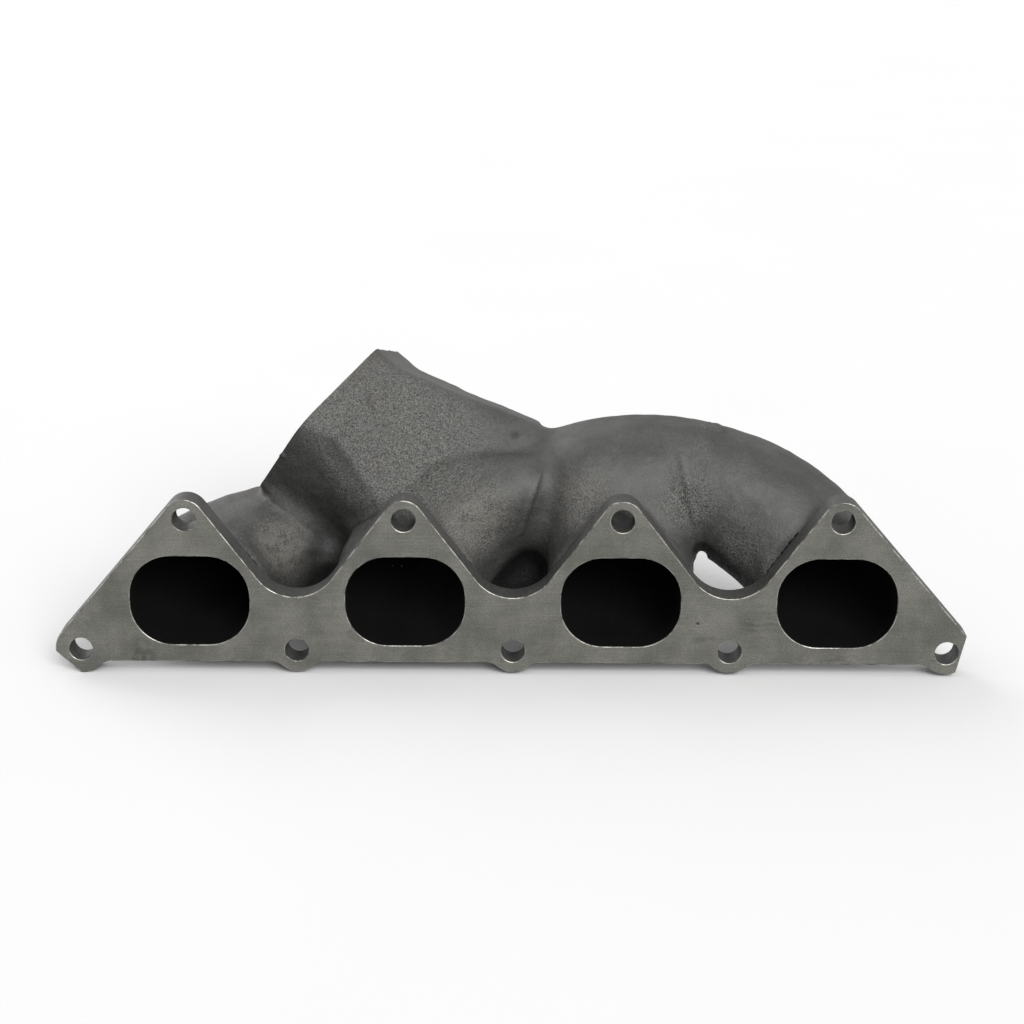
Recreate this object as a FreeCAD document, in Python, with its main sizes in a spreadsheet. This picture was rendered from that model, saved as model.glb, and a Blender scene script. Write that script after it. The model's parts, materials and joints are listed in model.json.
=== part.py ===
"""Exhaust manifold for a four-cylinder engine: one iron casting, modelled as its functional regions.

Frame: millimetres. The origin is the centre of the middle stud hole of the lower row, on the
machined face that bolts to the cylinder head. +X runs along the flange, +Y leads away from the
head and +Z is up.
"""
import FreeCAD, Part
import math
import os
import Sketcher

V = FreeCAD.Vector

doc = FreeCAD.newDocument("ExhaustManifold")
dims = doc.addObject("Spreadsheet::Sheet", "dims")
values = {}


def put(alias, value):
    """Store one driving dimension in the sheet, under its name."""
    row = str(len(values) + 1)
    dims.set("A" + row, alias)
    dims.set("B" + row, str(value))
    dims.setAlias("B" + row, alias)
    values[alias] = value


# ---------------------------------------------------------------- driving dimensions

for alias, value in (
    ("stud_pitch", 93.0),
    ("upper_stud_pitch", 92.6),
    ("port_pitch", 92.1),
    ("flange_thickness", 12.0),
    ("stud_hole_radius", 5.0),
    ("upper_row_height", 58.8),
    ("tip_radius", 8.8),
    ("valley_radius", 19.3),
    ("valley_floor", 24.3),
    ("lower_edge", -5.5),
    ("lug_radius", 9.9),
    ("end_lug_radius", 11.0),
    ("lug_blend_radius", 8.0),
    ("port_height", 22.3),
    ("port_wide", 51.0),
    ("port_tall", 40.0),
    ("port_corner", 18.0),
    ("wall", 5.5),
    ("right_corner_x", 194.2),
    ("right_corner_z", 7.8),
    ("right_foot_x", 191.2),
    ("left_flat_distance", 8.3),
    ("left_flat_angle", 227.0),
    ("outlet_x", -84.8),
    ("outlet_y", 98.0),
    ("outlet_z", 77.5),
    ("outlet_heading", 74.5),
    ("outlet_climb", 38.1),
    ("outlet_spin", 18.6),
    ("outlet_thickness", 13.0),
    ("outlet_wide", 87.0),
    ("outlet_tall", 80.0),
    ("outlet_corner", 7.0),
    ("outlet_bulge", 25.0),
    ("outlet_bulge_rise", -3.0),
    ("outlet_bulge_radius", 12.0),
    ("outlet_port_wide", 54.0),
    ("outlet_port_tall", 48.0),
    ("outlet_port_corner", 20.0),
    ("outlet_stud_wide", 58.0),
    ("outlet_stud_tall", 51.0),
    ("outlet_stud_radius", 4.25),
    ("outlet_clearance", 30.0),
    ("web_left", -20.0),
    ("web_right", 34.0),
    ("web_front", 50.0),
    ("web_thickness", 7.0),
    ("web_low", 7.0),
    ("web_high", 48.0),
    ("pad_x", 88.2),
    ("pad_y", 54.0),
    ("pad_z", 85.0),
    ("pad_lean_x", 2.7),
    ("pad_lean_y", 9.3),
    ("pad_radius", 5.4),
    ("pad_proud", 1.0),
    ("pad_root", 5.0),
):
    put(alias, value)

# Each runner is a row of oval sections: where its centre lies, which way the gas goes there
# (heading turns from +Y towards -X, climb lifts it from level) and how large the casting is.
STATION_FIELDS = ("x", "y", "z", "heading", "climb", "wide", "tall", "corner")
RUNNER_STATIONS = {
    "runner_1": (
        (-138.2, 12.0, 22.3, 0.0, 0.0, 62.0, 51.0, 23.0),
        (-135.0, 30.0, 23.5, -14.0, 6.0, 61.0, 50.0, 23.0),
        (-120.0, 52.0, 26.5, -42.0, 8.0, 58.0, 50.0, 23.0),
        (-90.0, 74.0, 30.0, -62.0, 12.0, 52.0, 49.0, 23.0),
        (-66.0, 84.0, 43.0, -74.0, 28.0, 46.0, 40.0, 18.0),
    ),
    "runner_2": (
        (-46.1, 12.0, 22.3, 0.0, 0.0, 62.0, 51.0, 23.0),
        (-43.5, 30.0, 27.0, -8.0, 25.0, 64.0, 53.0, 24.0),
        (-28.0, 46.0, 41.0, -16.0, 50.0, 72.0, 55.0, 25.0),
        (-11.0, 56.0, 56.5, -16.0, 58.0, 74.0, 53.0, 24.0),
        (-7.0, 61.5, 66.0, -16.0, 58.0, 58.0, 34.0, 15.0),
    ),
    "runner_3": (
        (46.1, 12.0, 22.3, 0.0, 0.0, 62.0, 51.0, 23.0),
        (47.0, 30.0, 28.0, 0.0, 28.0, 64.0, 54.0, 24.0),
        (47.0, 46.0, 46.0, 0.0, 56.0, 70.0, 56.0, 25.0),
        (46.0, 56.0, 65.0, 4.0, 62.0, 72.0, 54.0, 25.0),
        (45.5, 61.0, 75.0, 4.0, 62.0, 57.0, 34.0, 16.0),
    ),
    "runner_4": (
        (138.2, 8.0, 22.3, 0.0, 0.0, 62.0, 51.0, 23.0),
        (134.0, 28.0, 28.0, 22.0, 25.0, 62.0, 52.5, 24.0),
        (111.0, 46.0, 47.0, 55.0, 34.0, 61.0, 57.0, 26.0),
        (70.0, 57.0, 59.5, 80.0, 12.0, 60.0, 56.0, 26.0),
        (25.0, 62.0, 56.5, 90.0, 2.0, 58.0, 52.0, 25.0),
        (-20.0, 77.7, 60.9, 84.0, 38.0, 54.0, 54.0, 25.0),
    ),
}
for runner, stations in RUNNER_STATIONS.items():
    for number, station in enumerate(stations):
        for field, value in zip(STATION_FIELDS, station):
            put(f"{runner}_{number}_{field}", value)

# The collector narrows from the outlet down to where the runners join it. Its sections lie
# across the outlet's axis: how deep, how far off the axis and how large.
COLLECTOR_FIELDS = (
    "depth", "right", "rise", "wide", "tall", "corner", "bulge", "bulge_rise", "bulge_radius",
)
COLLECTOR_STATIONS = (
    (13.0, 0.0, 0.0, 87.0, 80.0, 7.0, 25.0, -3.0, 12.0),
    (42.0, 2.0, 6.0, 77.0, 87.0, 12.0, 20.0, -15.0, 14.0),
    (75.0, 10.0, 20.0, 62.0, 82.0, 16.0, 11.0, -15.0, 16.0),
)
for number, station in enumerate(COLLECTOR_STATIONS):
    for field, value in zip(COLLECTOR_FIELDS, station):
        put(f"collector_{number}_{field}", value)
doc.recompute()


# ---------------------------------------------------------------- helpers

def new_body(name):
    body = doc.addObject("PartDesign::Body", name)
    body.Label = name
    return body


def origin_feature(body, role):
    return [item for item in body.Origin.OriginFeatures if item.Role == role][0]


def new_sketch(body, name, placement_rule=None):
    """A sketch attached to its body's XY plane, and moved off it by an expression."""
    sketch = body.newObject("Sketcher::SketchObject", name)
    sketch.AttachmentSupport = [(origin_feature(body, "XY_Plane"), "")]
    sketch.MapMode = "FlatFace"
    if placement_rule:
        sketch.setExpression("AttachmentOffset", placement_rule)
    return sketch


def placed(x, y, z, yaw="0", pitch="0", roll="0"):
    """The expression of a placement, from expressions of its parts."""
    vector = f"create(<<vector>>; {x}; {y}; {z})"
    rotation = f"create(<<rotation>>; {yaw}; {pitch}; {roll})"
    return f"create(<<placement>>; {vector}; {rotation})"


def bind(sketch, constraint, name, rule):
    index = sketch.addConstraint(constraint)
    sketch.renameConstraint(index, name)
    sketch.setExpression("Constraints." + name, rule)


def rounded_rectangle(sketch, wide, tall, corner, rules):
    """Eight tangent edges, centred on the sketch's origin; rules drive wide, tall and corner."""
    half_w, half_t = wide / 2, tall / 2
    in_w, in_t = half_w - corner, half_t - corner
    normal = V(0, 0, 1)
    corners = ((in_w, -in_t, -90), (in_w, in_t, 0), (-in_w, in_t, 90), (-in_w, -in_t, 180))
    ends = (
        (V(-in_w, -half_t), V(in_w, -half_t)),
        (V(half_w, -in_t), V(half_w, in_t)),
        (V(in_w, half_t), V(-in_w, half_t)),
        (V(-half_w, in_t), V(-half_w, -in_t)),
    )
    for (start, end), (x, y, angle) in zip(ends, corners):
        sketch.addGeometry(Part.LineSegment(start, end))
        circle = Part.Circle(V(x, y), normal, corner)
        first = math.radians(angle)
        sketch.addGeometry(Part.ArcOfCircle(circle, first, first + math.pi / 2))
    for edge in range(8):
        sketch.addConstraint(Sketcher.Constraint("Tangent", edge, 2, (edge + 1) % 8, 1))
    for edge, direction in ((0, "Horizontal"), (2, "Vertical"), (4, "Horizontal"), (6, "Vertical")):
        sketch.addConstraint(Sketcher.Constraint(direction, edge))
    for arc in (3, 5, 7):
        sketch.addConstraint(Sketcher.Constraint("Equal", 1, arc))
    sketch.addConstraint(Sketcher.Constraint("Symmetric", 0, 1, 4, 1, -1, 1))
    bind(sketch, Sketcher.Constraint("DistanceX", 6, 1, 2, 1, wide), "wide", rules[0])
    bind(sketch, Sketcher.Constraint("DistanceY", 0, 1, 4, 1, tall), "tall", rules[1])
    bind(sketch, Sketcher.Constraint("Radius", 1, corner), "corner", rules[2])


def tangent_points(first, second):
    """Where the straight edge between two rounds of an outline touches them.

    A round is (x, y, radius); the outline runs clockwise, so a bulge has a positive radius
    and a hollow a negative one.
    """
    dx, dy = second[0] - first[0], second[1] - first[1]
    span = math.hypot(dx, dy)
    lean = math.asin((first[2] - second[2]) / span)
    along = math.atan2(dy, dx) + math.pi / 2 - lean
    side = V(math.cos(along), math.sin(along))
    start = V(first[0], first[1]) + side * first[2]
    end = V(second[0], second[1]) + side * second[2]
    return start, end


def rounded_outline(sketch, rounds, rules):
    """A closed clockwise outline of tangent arcs and straight edges; a radius of 0 is a corner."""
    count = len(rounds)
    edges = [tangent_points(rounds[i], rounds[(i + 1) % count]) for i in range(count)]
    order = []
    for i, (x, y, radius) in enumerate(rounds):
        if radius:
            entry, leave = edges[i - 1][1], edges[i][0]
            centre = V(x, y)
            begin, finish = (leave, entry) if radius > 0 else (entry, leave)
            first = math.atan2(begin.y - y, begin.x - x)
            last = math.atan2(finish.y - y, finish.x - x)
            if last < first:
                last += 2 * math.pi
            arc = Part.ArcOfCircle(Part.Circle(centre, V(0, 0, 1), abs(radius)), first, last)
            order.append((sketch.addGeometry(arc), 2 if radius > 0 else 1, i))
        order.append((sketch.addGeometry(Part.LineSegment(*edges[i])), 1, None))
    for position, (geometry, entry_end, _) in enumerate(order):
        following, following_entry, _ = order[(position + 1) % len(order)]
        is_arc = order[position][2] is not None
        leave_end = (3 - entry_end) if is_arc else 2
        next_is_arc = order[(position + 1) % len(order)][2] is not None
        joint = "Tangent" if is_arc or next_is_arc else "Coincident"
        sketch.addConstraint(
            Sketcher.Constraint(joint, geometry, leave_end, following, following_entry)
        )
    for geometry, _, i in order:
        if i is None:
            continue
        x, y, radius = rounds[i]
        rule_x, rule_y, rule_radius = rules[i]
        bind(sketch, Sketcher.Constraint("DistanceX", -1, 1, geometry, 3, x), f"x{i}", rule_x)
        bind(sketch, Sketcher.Constraint("DistanceY", -1, 1, geometry, 3, y), f"y{i}", rule_y)
        bind(sketch, Sketcher.Constraint("Radius", geometry, abs(radius)), f"radius{i}", rule_radius)
    for i, (x, y, radius) in enumerate(rounds):
        if radius:
            continue
        rule_x, rule_y, _ = rules[i]
        lines = [entry[0] for entry in order]
        arcs_before = sum(1 for item in rounds[: i + 1] if item[2])
        line = lines[i + arcs_before]
        bind(sketch, Sketcher.Constraint("DistanceX", -1, 1, line, 1, x), f"x{i}", rule_x)
        bind(sketch, Sketcher.Constraint("DistanceY", -1, 1, line, 1, y), f"y{i}", rule_y)


def loft(body, name, kind, sketches):
    feature = body.newObject("PartDesign::" + kind, name)
    feature.Profile = sketches[0]
    feature.Sections = sketches[1:]
    feature.Ruled = False
    for sketch in sketches:
        sketch.Visibility = False
    return feature


def through_pocket(body, name, sketch):
    """Cut a profile right through, whichever way its sketch faces."""
    pocket = body.newObject("PartDesign::Pocket", name)
    pocket.Profile = sketch
    pocket.Type = 1
    pocket.Midplane = True
    return pocket


# ---------------------------------------------------------------- head flange

def row_x(pitch, count, index):
    """The expression of the X of one of a row's holes, the row being centred on X = 0."""
    return f"dims.{pitch} * {index - (count - 1) / 2}"


def head_flange():
    """The plate that bolts to the cylinder head: four peaks, three valleys and five lower lugs."""
    body = new_body("head_flange")
    pitch = values["stud_pitch"]
    face = placed("0", "0", "0", roll="90")

    plate = new_sketch(body, "flange_outline", face)
    tip, valley = values["tip_radius"], values["valley_radius"]
    valley_z = values["valley_floor"] + valley
    rounds = [(-2 * pitch, 0.0, values["end_lug_radius"])]
    rules = [("-2 * dims.stud_pitch", "0", "dims.end_lug_radius")]
    for peak in range(4):
        rounds.append((values["upper_stud_pitch"] * (peak - 1.5), values["upper_row_height"], tip))
        rules.append((
            row_x("upper_stud_pitch", 4, peak), "dims.upper_row_height", "dims.tip_radius",
        ))
        if peak < 3:
            rounds.append((pitch * (peak - 1), valley_z, -valley))
            rules.append((
                row_x("stud_pitch", 3, peak),
                "dims.valley_floor + dims.valley_radius",
                "dims.valley_radius",
            ))
    rounds.append((values["right_corner_x"], values["right_corner_z"], 0))
    rules.append(("dims.right_corner_x", "dims.right_corner_z", None))
    rounds.append((values["right_foot_x"], values["lower_edge"], 0))
    rules.append(("dims.right_foot_x", "dims.lower_edge", None))
    rounds.append((-2 * pitch - values["end_lug_radius"], values["lower_edge"], 0))
    rules.append(("-2 * dims.stud_pitch - dims.end_lug_radius", "dims.lower_edge", None))
    rounded_outline(plate, rounds, rules)
    pad = body.newObject("PartDesign::Pad", "plate")
    pad.Profile = plate
    pad.setExpression("Length", "dims.flange_thickness")
    pad.Reversed = True

    lugs = new_sketch(body, "lug_rounds", face)
    for index in range(5):
        radius = values["end_lug_radius"] if index == 0 else values["lug_radius"]
        rule = "dims.end_lug_radius" if index == 0 else "dims.lug_radius"
        circle = lugs.addGeometry(Part.Circle(V(pitch * (index - 2), 0), V(0, 0, 1), radius))
        place = Sketcher.Constraint("DistanceX", -1, 1, circle, 3, pitch * (index - 2))
        bind(lugs, place, f"x{index}", row_x("stud_pitch", 5, index))
        lugs.addConstraint(Sketcher.Constraint("PointOnObject", circle, 3, -1))
        bind(lugs, Sketcher.Constraint("Radius", circle, radius), f"radius{index}", rule)
    lug_pad = body.newObject("PartDesign::Pad", "lugs")
    lug_pad.Profile = lugs
    lug_pad.setExpression("Length", "dims.flange_thickness")
    lug_pad.Reversed = True
    doc.recompute()

    trim_ends(body, face)
    blend_lugs(body)

    first_port = placed(row_x("port_pitch", 4, 0), "0", "dims.port_height", roll="90")
    port = new_sketch(body, "port_outline", first_port)
    rounded_rectangle(
        port, values["port_wide"], values["port_tall"], values["port_corner"],
        ("dims.port_wide", "dims.port_tall", "dims.port_corner"),
    )
    repeat_along_flange(body, through_pocket(body, "port", port), "port_pitch", 4)
    for name, spacing, height, count in (
        ("lower", "stud_pitch", "0", 5),
        ("upper", "upper_stud_pitch", "dims.upper_row_height", 4),
    ):
        first_hole = placed(row_x(spacing, count, 0), "0", height, roll="90")
        hole = new_sketch(body, name + "_stud_circle", first_hole)
        circle = hole.addGeometry(Part.Circle(V(0, 0), V(0, 0, 1), values["stud_hole_radius"]))
        hole.addConstraint(Sketcher.Constraint("Coincident", circle, 3, -1, 1))
        radius = Sketcher.Constraint("Radius", circle, values["stud_hole_radius"])
        bind(hole, radius, "radius", "dims.stud_hole_radius")
        drilled = through_pocket(body, name + "_stud_hole", hole)
        repeat_along_flange(body, drilled, spacing, count)
    return body


def trim_ends(body, face):
    """The flat on the first lug's outer corner, and the slanted right-hand end."""
    pitch = values["stud_pitch"]
    angle = math.radians(values["left_flat_angle"])
    out = V(math.cos(angle), math.sin(angle))
    along = V(-out.y, out.x)
    near = V(-2 * pitch, 0) + out * values["left_flat_distance"]
    reach, spare = 20.0, 8.0
    top = V(values["right_corner_x"], values["right_corner_z"])
    foot = V(values["right_foot_x"], values["lower_edge"])
    low = foot + (foot - top).normalize() * spare
    sketch = new_sketch(body, "end_trims", face)
    for outline in (
        (near + along * reach, near - along * reach, near + out * reach - along * reach,
         near + out * reach + along * reach),
        (top, low, low + V(reach, 0), top + V(reach, 0)),
    ):
        lines = []
        for i, point in enumerate(outline):
            line = Part.LineSegment(point, outline[(i + 1) % len(outline)])
            lines.append(sketch.addGeometry(line))
        for i, line in enumerate(lines):
            following = lines[(i + 1) % len(lines)]
            sketch.addConstraint(Sketcher.Constraint("Coincident", line, 2, following, 1))
            sketch.addConstraint(Sketcher.Constraint("Block", line))
    through_pocket(body, "ends", sketch)
    doc.recompute()


def blend_lugs(body):
    """Hollow rounds where the lower edge runs into each lug."""
    trimmed = body.Tip
    lower, pitch = values["lower_edge"], values["stud_pitch"]
    names = []
    for index, edge in enumerate(trimmed.Shape.Edges, 1):
        box = edge.BoundBox
        straight = box.XLength < 0.01 and box.ZLength < 0.01
        beside_lug = any(4 < abs(box.XMin - pitch * n) < 12 for n in (-2, -1, 0, 1, 2))
        outer_end = box.XMin < -2 * pitch or box.XMin > 2 * pitch
        if straight and beside_lug and not outer_end and abs(box.ZMin - lower) < 0.01:
            names.append(f"Edge{index}")
    fillet = body.newObject("PartDesign::Fillet", "lug_blends")
    fillet.Base = (trimmed, names)
    fillet.setExpression("Radius", "dims.lug_blend_radius")
    doc.recompute()


def repeat_along_flange(body, feature, pitch, count):
    pattern = body.newObject("PartDesign::LinearPattern", feature.Name + "_row")
    pattern.Originals = [feature]
    pattern.Direction = (origin_feature(body, "X_Axis"), [""])
    pattern.setExpression("Length", f"dims.{pitch} * {count - 1}")
    pattern.Occurrences = count
    body.Tip = pattern


# ---------------------------------------------------------------- runners

def station_sketch(body, runner, number, inner):
    """One oval section of a runner, of the casting or of the gas way inside it."""
    x, y, z, heading, climb = (f"dims.{runner}_{number}_{field}" for field in STATION_FIELDS[:5])
    side = "gas" if inner else "cast"
    sketch = new_sketch(
        body, f"{runner}_{side}_{number}", placed(x, y, z, yaw=heading, roll=f"90 + {climb}")
    )
    shrink = values["wall"] if inner else 0
    sizes = []
    rules = []
    for field, walls in (("wide", 2), ("tall", 2), ("corner", 1)):
        alias = f"{runner}_{number}_{field}"
        sizes.append(values[alias] - walls * shrink)
        rules.append(f"dims.{alias}" + (f" - {walls} * dims.wall" if inner else ""))
    rounded_rectangle(sketch, *sizes, rules)
    return sketch


def runner_body(runner, inner):
    name = runner + ("_gas_way" if inner else "_cast")
    body = new_body(name)
    domed = runner in ("runner_2", "runner_3")
    count = len(RUNNER_STATIONS[runner]) - (1 if inner and domed else 0)
    sketches = [station_sketch(body, runner, number, inner) for number in range(count)]
    loft(body, name + "_loft", "AdditiveLoft", sketches)
    return body


# ---------------------------------------------------------------- collector and outlet

def outlet_placement():
    """The outlet's own frame: x towards the head, y up and right, z out of the flange."""
    heading, climb = "dims.outlet_heading", "dims.outlet_climb"
    turn = f"create(<<rotation>>; {heading}; 0; 90 + {climb})"
    flip = "create(<<rotation>>; 0; 180; 0)"
    spin = "create(<<rotation>>; dims.outlet_spin; 0; 0)"
    place = "create(<<vector>>; dims.outlet_x; dims.outlet_y; dims.outlet_z)"
    return f"create(<<placement>>; {place}; {turn} * {flip} * {spin})"


def block_outline(sketch, prefix):
    """Four rounded corners, and a fifth that bulges towards the head."""
    names = ("wide", "tall", "corner", "bulge", "bulge_rise", "bulge_radius")
    wide, tall, corner, bulge, bulge_rise, blunt = (values[prefix + name] for name in names)
    rule = {name: f"dims.{prefix}{name}" for name in names}
    in_w, in_t = wide / 2 - corner, tall / 2 - corner
    across = f"({rule['wide']} / 2 - {rule['corner']})"
    up = f"({rule['tall']} / 2 - {rule['corner']})"
    bulge_x = f"{rule['wide']} / 2 + {rule['bulge']} - {rule['bulge_radius']}"
    rounds = [
        (-in_w, -in_t, corner),
        (-in_w, in_t, corner),
        (in_w, in_t, corner),
        (wide / 2 + bulge - blunt, bulge_rise, blunt),
        (in_w, -in_t, corner),
    ]
    rules = [
        ("-" + across, "-" + up, rule["corner"]),
        ("-" + across, up, rule["corner"]),
        (across, up, rule["corner"]),
        (bulge_x, rule["bulge_rise"], rule["bulge_radius"]),
        (across, "-" + up, rule["corner"]),
    ]
    rounded_outline(sketch, rounds, rules)


def collector_sketch(body, number, inner):
    fields = {field: f"dims.collector_{number}_{field}" for field in COLLECTOR_FIELDS}
    side = "gas" if inner else "cast"
    is_last = number == len(COLLECTOR_STATIONS) - 1
    depth = f"-{fields['depth']}" + (" + dims.wall" if inner and is_last else "")
    sketch = new_sketch(
        body, f"collector_{side}_{number}",
        placed(fields["right"], fields["rise"], depth),
    )
    size = {field: values[f"collector_{number}_{field}"] for field in COLLECTOR_FIELDS}
    if inner:
        if number == 0:
            names = ("outlet_port_wide", "outlet_port_tall", "outlet_port_corner")
            rounded_rectangle(
                sketch, *(values[name] for name in names), ["dims." + name for name in names]
            )
        else:
            rounded_rectangle(
                sketch,
                size["wide"] - 2 * values["wall"],
                size["tall"] - 2 * values["wall"],
                size["corner"],
                (
                    fields["wide"] + " - 2 * dims.wall",
                    fields["tall"] + " - 2 * dims.wall",
                    fields["corner"],
                ),
            )
    else:
        block_outline(sketch, f"collector_{number}_")
    return sketch


def collector_body(inner):
    name = "collector" + ("_gas_way" if inner else "_cast")
    body = new_body(name)
    body.setExpression("Placement", outlet_placement())
    count = len(COLLECTOR_STATIONS)
    sketches = [collector_sketch(body, number, inner) for number in range(count)]
    loft(body, name + "_loft", "AdditiveLoft", sketches)
    return body


def outlet_room():
    """The outlet flange's own place and the room in front of it for what bolts on."""
    body = new_body("outlet_room")
    body.setExpression("Placement", outlet_placement())
    outline = new_sketch(body, "room_outline", placed("0", "0", "-dims.outlet_thickness"))
    block_outline(outline, "outlet_")
    pad = body.newObject("PartDesign::Pad", "room")
    pad.Profile = outline
    pad.setExpression("Length", "dims.outlet_thickness + dims.outlet_clearance")
    return body


def outlet_flange():
    """The plate that the turbocharger bolts to: a port and four tapped holes."""
    body = new_body("outlet_flange")
    body.setExpression("Placement", outlet_placement())
    outline = new_sketch(body, "outlet_outline")
    block_outline(outline, "outlet_")
    pad = body.newObject("PartDesign::Pad", "outlet_plate")
    pad.Profile = outline
    pad.setExpression("Length", "dims.outlet_thickness")
    pad.Reversed = True
    port = new_sketch(body, "outlet_port_outline")
    names = ("outlet_port_wide", "outlet_port_tall", "outlet_port_corner")
    rounded_rectangle(port, *(values[name] for name in names), ["dims." + name for name in names])
    through_pocket(body, "outlet_port", port)
    studs = new_sketch(body, "outlet_stud_circles")
    wide, tall = values["outlet_stud_wide"] / 2, values["outlet_stud_tall"] / 2
    for index, (right, up) in enumerate(((1, 1), (-1, 1), (-1, -1), (1, -1))):
        radius = values["outlet_stud_radius"]
        circle = studs.addGeometry(Part.Circle(V(right * wide, up * tall), V(0, 0, 1), radius))
        across = Sketcher.Constraint("DistanceX", -1, 1, circle, 3, right * wide)
        bind(studs, across, f"x{index}", f"{right} * dims.outlet_stud_wide / 2")
        upward = Sketcher.Constraint("DistanceY", -1, 1, circle, 3, up * tall)
        bind(studs, upward, f"y{index}", f"{up} * dims.outlet_stud_tall / 2")
        size = Sketcher.Constraint("Radius", circle, radius)
        bind(studs, size, f"radius{index}", "dims.outlet_stud_radius")
    through_pocket(body, "outlet_stud_holes", studs)
    return body


# ---------------------------------------------------------------- web, pad and flange room

def flange_room():
    """A slab as thick as the head flange, which keeps runner 4 behind the flange's back face."""
    slab = doc.addObject("Part::Box", "flange_room")
    slab.setExpression("Length", "6 * dims.port_pitch")
    slab.setExpression("Width", "dims.flange_thickness")
    slab.setExpression("Height", "2 * dims.port_pitch")
    slab.setExpression("Placement", placed("-3 * dims.port_pitch", "0", "-dims.port_pitch"))
    return slab


def runner_web():
    """The wall that closes the pocket between runners 2 and 3, below runner 4."""
    web = doc.addObject("Part::Box", "web_block")
    web.setExpression("Length", "dims.web_right - dims.web_left")
    web.setExpression("Width", "dims.web_thickness")
    web.setExpression("Height", "dims.web_high - dims.web_low")
    web.setExpression("Placement", placed("dims.web_left", "dims.web_front", "dims.web_low"))
    return web


def cast_pad():
    """The round raised pad on top of runner 4, with a root that reaches into it."""
    pad = doc.addObject("Part::Cylinder", "pad_disc")
    pad.setExpression("Radius", "dims.pad_radius")
    pad.setExpression("Height", "dims.pad_proud + dims.pad_root")
    lean = placed("dims.pad_x", "dims.pad_y", "dims.pad_z", "0", "dims.pad_lean_y", "dims.pad_lean_x")
    sink = placed("0", "0", "-dims.pad_root")
    pad.setExpression("Placement", f"{lean} * {sink}")
    return pad


# ---------------------------------------------------------------- assembly

flange = head_flange()
outlet = outlet_flange()
cast = {runner: runner_body(runner, inner=False) for runner in RUNNER_STATIONS}
gas = {runner: runner_body(runner, inner=True) for runner in RUNNER_STATIONS}
collector_cast = collector_body(inner=False)
collector_gas = collector_body(inner=True)
doc.recompute()


def carve(name, base, tools):
    """A region of the casting: its outer form less its neighbours' forms and the gas ways."""
    for number, tool in enumerate(tools, 1):
        last = number == len(tools)
        cut = doc.addObject("Part::Cut", name if last else f"{name}_less_{number}")
        cut.Base = base
        cut.Tool = tool
        base = cut
    base.Label = name
    return base


regions = [
    carve("collector", collector_cast,
          [collector_gas] + [gas[runner] for runner in RUNNER_STATIONS]),
    carve("runner_4", cast["runner_4"],
          [collector_cast, flange_room(), gas["runner_4"], gas["runner_3"], gas["runner_2"]]),
    carve("runner_3", cast["runner_3"],
          [collector_cast, cast["runner_4"], gas["runner_3"]]),
    carve("runner_2", cast["runner_2"],
          [collector_cast, cast["runner_4"], cast["runner_3"], gas["runner_2"]]),
    carve("runner_1", cast["runner_1"],
          [collector_cast, outlet_room(), gas["runner_1"]]),
    carve("runner_web", runner_web(),
          [collector_cast] + [cast[runner] for runner in ("runner_4", "runner_3", "runner_2")]),
    carve("cast_pad", cast_pad(), [cast["runner_4"]]),
]
doc.recompute()

sub_parts = [flange, outlet] + regions
for item in doc.Objects:
    if "Invalid" in item.State or "Error" in item.State:
        raise RuntimeError(f"{item.Name} is {item.State}")
os.makedirs("parts", exist_ok=True)
for item in sub_parts:
    shape = item.Shape
    if shape.isNull() or not shape.isValid():
        raise RuntimeError(f"{item.Label} has no valid shape")
    shape.exportStep(f"parts/{item.Label}.step")
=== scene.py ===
"""Looks of the exhaust manifold: a cast-iron skin with cast fillets, and machined flange faces.

The skin is worked out from the frame's solids as a distance field, blended where they meet, and
then divided again into one closed piece per node. Lengths in the text are in millimetres, and MM
turns them into Blender's metres.
"""

import json
import math

import bmesh
import bpy
import numpy as np
import openvdb
from mathutils import Matrix, Vector
from mathutils.geometry import tessellate_polygon


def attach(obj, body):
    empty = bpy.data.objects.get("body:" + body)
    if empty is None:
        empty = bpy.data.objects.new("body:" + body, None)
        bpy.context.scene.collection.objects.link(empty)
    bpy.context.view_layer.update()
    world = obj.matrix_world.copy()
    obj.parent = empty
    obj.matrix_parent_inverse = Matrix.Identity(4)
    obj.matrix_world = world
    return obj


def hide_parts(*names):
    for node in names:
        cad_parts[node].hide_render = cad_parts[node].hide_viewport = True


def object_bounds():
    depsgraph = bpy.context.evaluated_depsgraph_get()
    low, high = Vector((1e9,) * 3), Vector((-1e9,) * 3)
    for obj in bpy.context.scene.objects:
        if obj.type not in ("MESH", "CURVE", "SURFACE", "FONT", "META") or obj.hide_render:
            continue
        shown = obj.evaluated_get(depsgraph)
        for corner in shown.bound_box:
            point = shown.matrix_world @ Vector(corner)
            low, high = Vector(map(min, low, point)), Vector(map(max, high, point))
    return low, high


MM = 0.001

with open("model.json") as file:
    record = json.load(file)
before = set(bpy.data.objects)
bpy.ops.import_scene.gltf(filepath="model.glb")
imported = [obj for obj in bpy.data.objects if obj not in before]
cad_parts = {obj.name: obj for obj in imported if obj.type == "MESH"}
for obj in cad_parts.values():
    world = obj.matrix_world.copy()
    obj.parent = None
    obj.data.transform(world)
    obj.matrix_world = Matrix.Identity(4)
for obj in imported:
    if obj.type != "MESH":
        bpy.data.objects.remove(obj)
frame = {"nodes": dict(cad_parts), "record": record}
CAD_BOX = [list(corner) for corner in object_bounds()]
RECORD = frame["record"]
MOUNTS = {mount["name"]: mount for mount in RECORD["mounts"]}
OPENINGS = {opening["name"]: opening["box_m"] for opening in RECORD["physics"]["openings"]}

# ---------------------------------------------------------------- driving sizes, in millimetres

# The grid's step, and the radii that creases are filled to and edges rounded to.
VOXEL = 0.8
CREASE_RADIUS = 8.0
TIGHT_RADIUS = 3.0
EDGE_RADIUS = 2.0

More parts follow.
